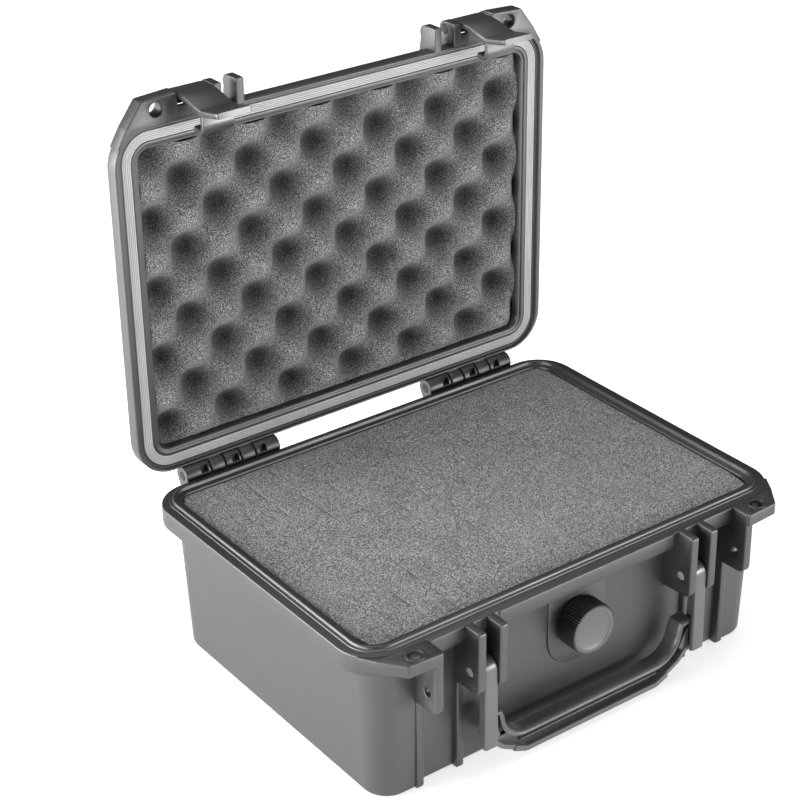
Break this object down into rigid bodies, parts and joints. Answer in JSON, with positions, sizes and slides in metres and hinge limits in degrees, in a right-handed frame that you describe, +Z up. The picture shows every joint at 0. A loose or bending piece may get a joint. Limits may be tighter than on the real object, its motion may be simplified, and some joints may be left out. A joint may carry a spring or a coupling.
{
  "type": "hard equipment case",
  "caption": "Hard plastic equipment case with a hinged lid, hook latches, a folding handle, a pressure valve and foam inserts.",
  "frame": {"origin": "centre of the base's underside", "axes": "+X to the right along the front, -Y towards the front with the latches and handle, +Z up"},
  "size_m": [0.235, 0.2132, 0.2614],
  "materials": {
    "case_plastic": "fine satin texture, dark grey polypropylene",
    "latch_plastic": "fine satin texture, near-black polymer",
    "knob_plastic": "fine matt texture, dark grey polymer",
    "foam_grey": "open-cell polyurethane foam, charcoal",
    "gasket_rubber": "smooth grey elastomer",
    "seal_rubber": "smooth black elastomer",
    "pin_steel": "ground stainless steel",
    "bush_brass": "turned brass"
  },
  "bodies": {
    "base": {"base_shell": "case_plastic", "base_foam_pad": "foam_grey", "base_foam_pluck": "foam_grey", "hinge_pin_left": "pin_steel", "hinge_pin_right": "pin_steel", "handle_pin_left": "pin_steel", "handle_pin_right": "pin_steel", "purge_bush": "bush_brass", "purge_nut": "bush_brass", "purge_seal": "seal_rubber"},
    "lid": {"lid_shell": "case_plastic", "lid_gasket": "gasket_rubber", "lid_foam": "foam_grey", "latch_pin_left": "pin_steel", "latch_pin_right": "pin_steel"},
    "latch_left": {"latch_left": "latch_plastic"},
    "latch_right": {"latch_right": "latch_plastic"},
    "handle": {"handle": "case_plastic"},
    "knob": {"purge_knob": "knob_plastic", "knob_seal": "seal_rubber"}
  },
  "joints": [
    {"name": "lid_hinge", "type": "hinge", "parent": "base", "child": "lid", "pos_m": [0, 0.0883, 0.0776], "axis": [1, 0, 0], "range_deg": [0, 90]},
    {"name": "latch_left_pivot", "type": "hinge", "parent": "lid", "child": "latch_left", "pos_m": [-0.076, 0.0957, 0.2566], "axis": [-1, 0, 0], "range_deg": [0, 100]},
    {"name": "latch_right_pivot", "type": "hinge", "parent": "lid", "child": "latch_right", "pos_m": [0.076, 0.0957, 0.2566], "axis": [-1, 0, 0], "range_deg": [0, 100]},
    {"name": "handle_hinge", "type": "hinge", "parent": "base", "child": "handle", "pos_m": [0, -0.0883, 0.055], "axis": [-1, 0, 0], "range_deg": [0, 95]},
    {"name": "knob_turn", "type": "hinge", "parent": "base", "child": "knob", "pos_m": [0, -0.084, 0.049], "axis": [0, -1, 0], "range_deg": [0, 180]}
  ]
}
